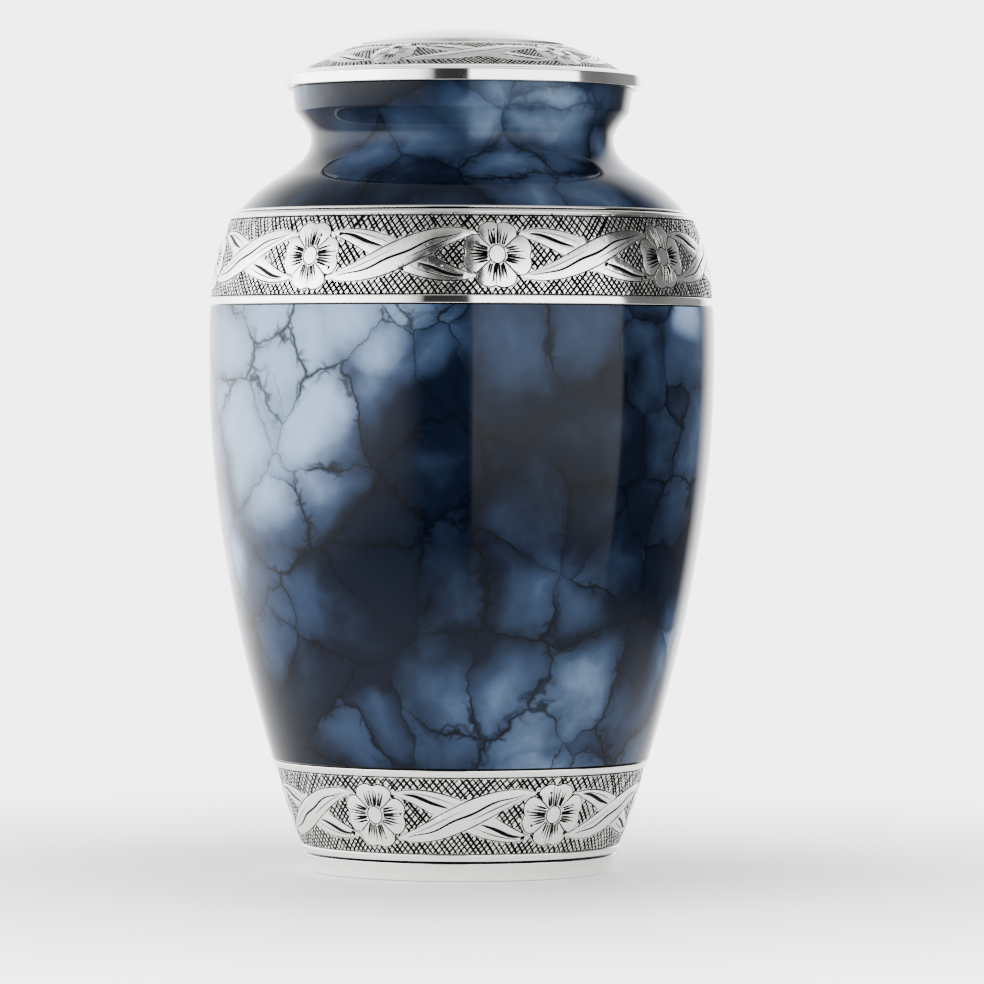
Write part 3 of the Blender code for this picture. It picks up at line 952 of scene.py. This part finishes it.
def polished_metal(colors):
    """Turned and buffed nickel-plated metal: bright, with faint turning lines and hazy patches.

    Real turning lines are too fine to show at this distance, so they are drawn 0.5 mm apart.
    """
    n = new_material("polished_nickel")
    place = n.add("TexCoord")["Object"]
    haze = n.add("TexNoise", {"Vector": place, "Scale": per_metre(9), "Detail": 4.0})["Fac"]
    lines = n.add("Mapping", {"Vector": place, "Scale": (0.02, 0.02, 1.0)})[0]
    turning = n.add("TexNoise", {"Vector": lines, "Scale": per_metre(0.5), "Detail": 2.0})["Fac"]
    hazy = n.add("MapRange", (haze, 0.3, 0.7, 0.04, 0.09), **SMOOTH)[0]
    rough = n.add("Math", (turning, 0.03, hazy), operation="MULTIPLY_ADD")[0]
    cut = n.add("Attribute", attribute_name="cut")["Fac"]
    groove = n.add("MapRange", (cut, 0.1, 0.7), **SMOOTH)[0]
    tint = n.add("Mix", {"Factor": groove, "A": opaque(colors.metal), "B": opaque(colors.patina)},
                 data_type="RGBA")["Result"]
    bump = n.add("Bump", {"Height": turning, "Strength": 0.04, "Distance": 0.05 * MM})[0]
    n.set(n.shader, {"Base Color": tint, "Metallic": 1.0, "Roughness": rough, "Normal": bump})
    return n.owner


def engraved_metal(colors):
    """The same metal cut with a graver and darkened in the cuts, its high places rubbed bright.

    The grain left by rubbing is finer than shows, so it is drawn as coarse as 0.7 mm.
    """
    n = new_material("engraved_nickel")
    place = n.add("TexCoord")["Object"]
    cut = n.add("Attribute", attribute_name="cut")["Fac"]
    grain = n.add("TexNoise", {"Vector": place, "Scale": per_metre(0.7), "Detail": 3.0})["Fac"]
    haze = n.add("TexNoise", {"Vector": place, "Scale": per_metre(6), "Detail": 4.0})["Fac"]
    uneven = n.add("Math", (grain, 0.5), operation="SUBTRACT")[0]
    edge = n.add("Math", (uneven, 0.25, cut), operation="MULTIPLY_ADD")[0]
    dark = n.add("MapRange", (edge, 0.04, 0.26), **SMOOTH)[0]
    hazy = n.add("MapRange", (haze, 0.35, 0.75, 0.0, 0.35), **SMOOTH)[0]
    metal = n.add("Mix", {"Factor": hazy, "A": opaque(colors.metal), "B": hex_color("#d4d1cb")},
                  data_type="RGBA")["Result"]
    tint = n.add("Mix", {"Factor": dark, "A": metal, "B": opaque(colors.patina)}, data_type="RGBA")["Result"]
    rubbed = n.add("MapRange", (haze, 0.3, 0.7, 0.13, 0.22), **SMOOTH)[0]
    rough = n.add("Math", (dark, 0.40, rubbed), operation="MULTIPLY_ADD")[0]
    bump = n.add("Bump", {"Height": grain, "Strength": 0.12, "Distance": 0.04 * MM})[0]
    n.set(n.shader, {"Base Color": tint, "Metallic": 1.0, "Roughness": rough, "Normal": bump})
    return n.owner


def bare_casting(colors):
    """Cast metal left bare inside and under the vessel: dull, with a sand-cast grain.

    The sand's grain is drawn 1.4 mm across, coarser than it is, so that it shows.
    """
    n = new_material("bare_cast_metal")
    place = n.add("TexCoord")["Object"]
    grain = n.add("TexNoise", {"Vector": place, "Scale": per_metre(1.4), "Detail": 5.0})["Fac"]
    greys = ((0.25, hex_color("#8f8d89")), (0.8, hex_color("#c2c0bb")))
    tint = n.add("ValToRGB", (grain,), greys)["Color"]
    rough = n.add("MapRange", (grain, 0.2, 0.8, 0.38, 0.55), **SMOOTH)[0]
    bump = n.add("Bump", {"Height": grain, "Strength": 0.25, "Distance": 0.1 * MM})[0]
    n.set(n.shader, {"Base Color": tint, "Metallic": 1.0, "Roughness": rough, "Normal": bump})
    return n.owner


FINISHES = {}


def finish(make):
    """The material that a finish's function makes, made once."""
    name = make.__name__
    if name not in FINISHES:
        FINISHES[name] = make(bpy.context.scene.urn_colors).name
    return bpy.data.materials[FINISHES[name]]


# Operators

POCKET = 1.0 * MM
LIP = 0.7 * MM
TICK_MARGIN = 0.8 * MM
FOOT_DROP = 0.5 * MM
RING_DEPTH = 0.5 * MM
CORNER = 0.05 * MM
SHOULDER_SEED, FOOT_SEED, LID_SEED = 11, 23, 37


class URN_OT_vessel(bpy.types.Operator):
    """Turn the enamelled vessel: foot to collar outside, lining and floor inside"""

    bl_idname = "urn.vessel"
    bl_label = "Enamelled Vessel"

    def execute(self, context):
        sizes = context.scene.urn_sizes
        o = Outline(sizes)
        floor_top = sizes.recess + sizes.floor
        lining = [(o.lining(level, sizes.wall), level) for level in
                  np.linspace(floor_top + 3.0 * MM, o.shoulder_field_top, 30)]
        throat = [(o.lining(level, sizes.wall), level) for level in
                  np.linspace(o.cove - sizes.shoulder / 2, o.neck, 12)]
        inside = [(0.0, floor_top), (o.lining(floor_top + MM, sizes.wall), floor_top, 3.0 * MM)]
        inside += lining + throat
        inside += [(o.collar_bore, o.collar_top - sizes.bore_depth, 0.5 * MM),
                   (o.collar_bore, o.collar_top, 0.5 * MM)]
        outside = [(o.collar_radius, o.collar_top, 0.8 * MM),
                   (o.collar_bottom_radius, o.collar_bottom, 0.35 * MM)]
        outside += o.curve(o.collar_bottom, o.neck, 12)[1:] + o.curve(o.neck, o.cove, 14)[1:]
        outside += o.curve(o.cove, o.shoulder + LIP, 14)[1:]
        lip = o.radius(o.shoulder + LIP)
        outside += [(lip - POCKET, o.shoulder + LIP),
                    (o.radius(o.belly_top) - POCKET, o.belly_top - 0.2 * MM)]
        outside += o.curve(o.belly_top - 0.2 * MM, o.belly_bottom, 60)
        outside += [(o.radius(o.belly_bottom) - POCKET, o.belly_bottom),
                    (o.radius(0.3 * MM) - POCKET, 0.3 * MM)]
        ring = sizes.foot_radius - sizes.foot_ring
        underside = [(sizes.foot_radius - 1.5 * MM, 0.0), (ring, 0.0, 0.5 * MM),
                     (ring - sizes.recess, sizes.recess, 0.5 * MM), (0.0, sizes.recess)]
        mesh = spin_profile(round_corners(inside + outside + underside))
        inner_wall = sizes.wall * 0.6
        for face in mesh.faces:
            middle = face.calc_center_median()
            radius = axis_distance(middle)
            skin = o.radius(min(max(middle.z, 0.0), o.collar_bottom - 0.1 * MM))
            bare = middle.z < o.belly_bottom or radius < skin - inner_wall
            if middle.z > o.collar_bottom:
                bare = radius < o.collar_bore + 1.2 * MM
            face.material_index = 1 if bare else 0
        materials = [finish(marbled_enamel), finish(bare_casting)]
        finish_piece("vessel", mesh, materials, "urn_body")
        return {"FINISHED"}


def ring_section(outline, stations):
    """Closed section of a turned ring: stations of level, offset and corner, with a flat back."""
    front = [(outline.radius(level) + offset, level, corner) for level, offset, corner in stations]
    back = min(point[0] for point in front) - RING_DEPTH
    return round_corners(front + [(back, stations[-1][0]), (back, stations[0][0])])


class URN_OT_shoulder_rims(bpy.types.Operator):
    """Turn the polished rims above and below the shoulder band's field"""

    bl_idname = "urn.shoulder_rims"
    bl_label = "Shoulder Band Rims"

    def execute(self, context):
        o = Outline(context.scene.urn_sizes)
        top, field = o.shoulder, o.shoulder_field_top + TICK_MARGIN
        edge = o.radius(top + LIP)
        upper = [(edge - 0.3 * MM, top + LIP - 0.03 * MM),
                 (edge + 0.40 * MM, top + LIP - 0.03 * MM, 0.2 * MM),
                 (edge + 0.75 * MM, top + 0.1 * MM, 0.2 * MM),
                 (edge + 0.25 * MM, top - 0.02 * MM, CORNER), (edge + 0.35 * MM, top - 0.30 * MM, CORNER),
                 (o.radius(top) + 0.10 * MM, top - 0.42 * MM, 0.3 * MM),
                 (o.radius(field) + 0.12 * MM, field + 0.25 * MM, 0.2 * MM),
                 (o.radius(field) - 0.20 * MM, field),
                 (o.radius(field) - POCKET, field), (edge - 0.3 * MM, top)]
        mesh = spin_profile(round_corners(upper), closed=True)
        high, low = o.shoulder_field, o.belly_top
        lower = [(high, -0.25 * MM, 0.0), (high - 0.3 * MM, 0.25 * MM, 0.25 * MM),
                 (low + 0.28 * MM, 0.28 * MM, 0.25 * MM), (low + 0.12 * MM, -0.30 * MM, CORNER),
                 (low - 0.20 * MM, -0.30 * MM, CORNER)]
        add_ring(mesh, ring_section(o, lower))
        grooves = ((top - 0.31 * MM, top + 0.02 * MM), (low - 0.3 * MM, low + 0.14 * MM))
        darken_grooves(mesh, grooves, level_of)
        finish_piece("shoulder_rims", mesh, [finish(polished_metal)], "urn_body")
        return {"FINISHED"}


def add_ring(mesh, section):
    """Add a second turned ring to a bmesh."""
    other = spin_profile(section, closed=True)
    data = bpy.data.meshes.new("ring")
    other.to_mesh(data)
    other.free()
    mesh.from_mesh(data)
    bpy.data.meshes.remove(data)


class URN_OT_foot_rims(bpy.types.Operator):
    """Turn the foot's polished rim, its bead, and the rim under the belly"""

    bl_idname = "urn.foot_rims"
    bl_label = "Foot Rims"

    def execute(self, context):
        o = Outline(context.scene.urn_sizes)
        high, low = o.belly_bottom, o.foot_field_top
        upper = [(high, -0.35 * MM, 0.1 * MM), (high - 0.45 * MM, -0.55 * MM, 0.1 * MM),
                 (high - 0.65 * MM, 0.05 * MM, 0.3 * MM), (low + 0.35 * MM, -0.15 * MM, 0.3 * MM),
                 (low, -0.25 * MM - FOOT_DROP, 0.0)]
        mesh = spin_profile(ring_section(o, upper), closed=True)
        top, groove = o.foot_field, o.foot_groove
        lower = [(top, -0.25 * MM - FOOT_DROP, 0.0), (top - 0.3 * MM, 0.1 * MM - FOOT_DROP, 0.3 * MM),
                 (groove + 0.85 * MM, 0.1 * MM - FOOT_DROP, 0.2 * MM),
                 (groove + 0.70 * MM, -1.1 * MM, CORNER), (groove + 0.15 * MM, -1.1 * MM, CORNER),
                 (groove, -0.1 * MM - FOOT_DROP, 0.2 * MM), (0.0, -FOOT_DROP, 0.5 * MM)]
        add_ring(mesh, ring_section(o, lower))
        grooves = ((groove + 0.05 * MM, groove + 0.8 * MM), (high - 0.5 * MM, high + 0.1 * MM))
        darken_grooves(mesh, grooves, level_of)
        finish_piece("foot_rims", mesh, [finish(polished_metal)], "urn_body")
        return {"FINISHED"}


class URN_OT_shoulder_band(bpy.types.Operator):
    """Engrave the shoulder band's field with flowers, crossing leaves and hatching"""

    bl_idname = "urn.shoulder_band"
    bl_label = "Shoulder Band"

    def execute(self, context):
        ornament = context.scene.urn_ornament
        o = Outline(context.scene.urn_sizes)
        place = WallPlace(o, o.shoulder_field, o.shoulder_field_top + TICK_MARGIN,
                          ornament.shoulder_flowers, ornament.shoulder_turn)
        drawing = Drawing(ornament, place, SHOULDER_SEED, TICK_MARGIN / MM)
        carve_band("shoulder_band", "urn_body", drawing, place, POCKET * 0.8)
        return {"FINISHED"}


class URN_OT_foot_band(bpy.types.Operator):
    """Engrave the foot band's field"""

    bl_idname = "urn.foot_band"
    bl_label = "Foot Band"

    def execute(self, context):
        ornament = context.scene.urn_ornament
        o = Outline(context.scene.urn_sizes)
        place = WallPlace(o, o.foot_field, o.foot_field_top, ornament.foot_flowers, ornament.foot_turn,
                          FOOT_DROP)
        carve_band("foot_band", "urn_body", Drawing(ornament, place, FOOT_SEED), place, POCKET * 0.4)
        return {"FINISHED"}


class URN_OT_lid(bpy.types.Operator):
    """Turn the lid: polished middle and rim outside, hollow dome and plug under it"""

    bl_idname = "urn.lid"
    bl_label = "Lid"

    def execute(self, context):
        sizes = context.scene.urn_lid
        d = Dome(sizes, Outline(context.scene.urn_sizes))
        step = d.inner - sizes.fillet
        slope = (d.foot - d.rim_top) / (d.radius - d.foot_radius)
        groove = d.foot_radius + sizes.groove
        groove_level = d.foot - slope * sizes.groove
        top = d.curve(0.0, step - 0.12 * MM, 24)
        top += [(step - 0.05 * MM, d.level(step)), (step, d.level(step) - 0.8 * MM, CORNER),
                (step + 0.4 * MM, d.level(step) - 0.85 * MM, CORNER),
                (step + 0.45 * MM, d.level(step) - 0.62 * MM, 0.1 * MM),
                (d.inner - 0.2 * MM, d.level(d.inner) + 0.05 * MM, 0.2 * MM),
                (d.inner, d.level(d.inner) - 0.25 * MM),
                (d.inner, d.level(d.inner) - POCKET), (d.outer, d.level(d.outer) - POCKET),
                (d.outer, d.level(d.outer) - 0.25 * MM), (d.outer + 0.2 * MM, d.foot + 0.15 * MM, 0.1 * MM),
                (groove, groove_level, 0.2 * MM), (groove + 0.1 * MM, groove_level - 0.45 * MM, CORNER),
                (groove + 0.9 * MM, groove_level - 0.6 * MM, CORNER)]
        rim = [(groove + 1.0 * MM, groove_level - 0.2 * MM, 0.1 * MM),
               (d.radius, d.rim_top, 0.4 * MM), (d.radius, d.bottom - sizes.lip, 0.3 * MM),
               (d.radius - 1.1 * MM, d.bottom - sizes.lip, 0.3 * MM),
               (d.radius - 1.6 * MM, d.bottom, 0.3 * MM)]
        plug = [(d.plug_radius, d.bottom, 0.3 * MM), (d.plug_radius, LID_LOW.z, 0.6 * MM),
                (d.plug_bore, LID_LOW.z, 0.6 * MM)]
        hollow = d.curve(d.plug_bore, 0.0, 20, -sizes.wall - 0.6 * MM)
        mesh = spin_profile(round_corners(top + rim + plug + hollow))
        grooves = ((step - 0.06 * MM, step + 0.43 * MM), (groove + 0.02 * MM, groove + 0.98 * MM))

        def top_radius(point):
            """Distance from the axis of a point on the dome's top, and nothing for others."""
            radius = axis_distance(point)
            return radius if point.z > d.level(radius) - MM else 0.0

        darken_grooves(mesh, grooves, top_radius)
        for face in mesh.faces:
            under = face.normal.z < 0.3 and axis_distance(face.calc_center_median()) < d.plug_bore
            face.material_index = 1 if under else 0
        materials = [finish(polished_metal), finish(bare_casting)]
        finish_piece("lid_cover", mesh, materials, "lid")
        return {"FINISHED"}


class URN_OT_lid_band(bpy.types.Operator):
    """Engrave the field round the lid's dome"""

    bl_idname = "urn.lid_band"
    bl_label = "Lid Band"

    def execute(self, context):
        ornament = context.scene.urn_ornament
        dome = Dome(context.scene.urn_lid, Outline(context.scene.urn_sizes))
        place = DomePlace(dome, ornament.lid_flowers, ornament.lid_turn, ornament.lid_scale)
        carve_band("lid_band", "lid", Drawing(ornament, place, LID_SEED), place, POCKET * 0.8)
        return {"FINISHED"}


# Brightness of the studio's walls by degrees round the urn, and its share by the height of the view
WALLS = ((-180, 0.62), (-140, 0.62), (-115, 0.95), (-62, 0.95), (-28, 0.42), (-17, 0.005), (4, 0.005),
         (5, 0.58), (77, 0.58), (79, 0.022), (100, 0.022), (140, 0.05), (155, 0.62), (180, 0.62))
HEIGHTS = ((-1.0, 0.12), (-0.32, 0.20), (-0.12, 1.0), (0.12, 1.0), (0.28, 0.88), (0.50, 0.50),
           (0.65, 0.28), (1.0, 0.10))
CEILING = 0.09
LIGHT_STRENGTH = 8.0
FLOOR_RADIUS = 0.42
FLOOR_LEVEL = -0.0002
PHOTO_SIDE = 984


def grey(level):
    """Neutral colour of a brightness."""
    return (level, level, level, 1.0)


class URN_OT_studio(bpy.types.Operator):
    """Set the pale floor, the soft studio light and the camera"""

    bl_idname = "urn.studio"
    bl_label = "Studio"

    def execute(self, context):
        scene = context.scene
        self.add_floor(scene)
        self.add_light(scene)
        self.add_camera(scene)
        return {"FINISHED"}

    def add_floor(self, scene):
        """A pale matt disc that glows, dimmer round the urn's foot as a painted contact shadow, and faded
        out at its edge, so that it has no horizon.
        """
        mesh = bmesh.new()
        bmesh.ops.create_circle(mesh, cap_ends=True, segments=128, radius=FLOOR_RADIUS)
        bmesh.ops.translate(mesh, verts=mesh.verts, vec=(0, 0, FLOOR_LEVEL))
        data = bpy.data.meshes.new("floor")
        mesh.to_mesh(data)
        mesh.free()
        n = new_material("pale_floor")
        place = n.add("TexCoord")["Object"]
        away = n.add("VectorMath", (place,), operation="LENGTH")["Value"]
        # Painted contact shadow: the disc glows dimly near the urn, darkening the floor round its foot, and
        # glows brighter farther out
        glow_and_painted_shadow = n.add("MapRange", (away, 0.045, 0.20, 0.35, 1.45), **SMOOTH)[0]
        fade = n.add("MapRange", (away, 0.12, FLOOR_RADIUS, 1.0, 0.0), **SMOOTH)[0]
        n.set(n.shader, {"Base Color": hex_color("#f0f0ef"), "Roughness": 0.6,
                         "Emission Color": hex_color("#ffffff"), "Emission Strength": glow_and_painted_shadow, "Alpha": fade})
        data.materials.append(n.owner)
        floor = bpy.data.objects.new("floor", data)
        scene.collection.objects.link(floor)

    def add_light(self, scene):
        """White studio walls: a strong softbox on the left, a dim gap, a panel and a low ceiling."""
        n = Nodes(bpy.data.worlds.new("studio"), "Background")
        parts = n.add("SeparateXYZ", (n.add("TexCoord")["Generated"],))
        back = n.add("Math", (parts[1], -1.0), operation="MULTIPLY")[0]
        around = n.add("Math", (parts[0], back), operation="ARCTAN2")[0]
        turned = n.add("MapRange", (around, -math.pi, math.pi))[0]
        walls = [((angle + 180) / 360, grey(level)) for angle, level in WALLS]
        wall = n.add("ValToRGB", (turned,), walls)["Color"]
        rise = n.add("MapRange", (parts[2], -1.0, 1.0))[0]
        heights = [((level + 1) / 2, grey(share)) for level, share in HEIGHTS]
        height = n.add("ValToRGB", (rise,), heights)["Color"]
        room = n.add("Mix", {"Factor": 1.0, "A": wall, "B": height}, data_type="RGBA",
                     blend_type="MULTIPLY")["Result"]
        above = n.add("MapRange", (parts[2], 0.60, 0.90), **SMOOTH)[0]
        light = n.add("Mix", {"Factor": above, "A": room, "B": grey(CEILING)}, data_type="RGBA")["Result"]
        n.set(n.shader, {"Color": light, "Strength": LIGHT_STRENGTH})
        scene.world = n.owner

    def add_camera(self, scene):
        """The photograph's view, from where its frame puts the urn's axis and the eye's level."""
        distance, eye = 1.80, 0.146
        pixels_per_metre = 3.3135 / MM
        axis_column, horizon_row = 461.3, 386.0
        focal = pixels_per_metre * distance
        yaw = math.atan((axis_column - PHOTO_SIDE / 2) / focal)
        pitch = math.atan((PHOTO_SIDE / 2 - horizon_row) / focal)
        roll = math.radians(0.17)
        camera_data = bpy.data.cameras.new("camera")
        camera_data.sensor_width = 36.0
        camera_data.lens = camera_data.sensor_width * focal / PHOTO_SIDE
        camera = bpy.data.objects.new("camera", camera_data)
        turn = (Matrix.Rotation(yaw, 4, "Z") @ Matrix.Rotation(math.pi / 2 - pitch, 4, "X")
                @ Matrix.Rotation(roll, 4, "Z"))
        camera.matrix_world = Matrix.Translation((0, -distance, eye)) @ turn
        scene.collection.objects.link(camera)
        scene.camera = camera


class URN_PT_panel(bpy.types.Panel):
    """Sidebar panel with the urn's sizes, colours and steps"""

    bl_idname = "URN_PT_panel"
    bl_label = "Engraved Urn"
    bl_space_type = "VIEW_3D"
    bl_region_type = "UI"
    bl_category = "Urn"

    def draw(self, context):
        for group in GROUPS:
            settings = getattr(context.scene, group)
            for name in settings.__annotations__:
                self.layout.prop(settings, name)
        for operator in OPERATORS:
            self.layout.operator(operator.bl_idname)


GROUPS = {"urn_sizes": UrnSizes, "urn_lid": LidSizes, "urn_ornament": OrnamentSizes,
          "urn_colors": FinishColors}
OPERATORS = (URN_OT_studio, URN_OT_vessel, URN_OT_shoulder_rims, URN_OT_foot_rims, URN_OT_shoulder_band,
             URN_OT_foot_band, URN_OT_lid, URN_OT_lid_band)


def register():
    """Make the property groups, operators and panel known."""
    for group, settings in GROUPS.items():
        bpy.utils.register_class(settings)
        setattr(bpy.types.Scene, group, PointerProperty(type=settings))
    for operator in OPERATORS:
        bpy.utils.register_class(operator)
    bpy.utils.register_class(URN_PT_panel)


def unregister():
    """Take them away again."""
    bpy.utils.unregister_class(URN_PT_panel)
    for operator in reversed(OPERATORS):
        bpy.utils.unregister_class(operator)
    for group, settings in reversed(GROUPS.items()):
        delattr(bpy.types.Scene, group)
        bpy.utils.unregister_class(settings)


def main():
    """Build the urn."""
    register()
    for operator in OPERATORS:
        category, name = operator.bl_idname.split(".")
        getattr(getattr(bpy.ops, category), name)()


if __name__ == "__main__":
    main()
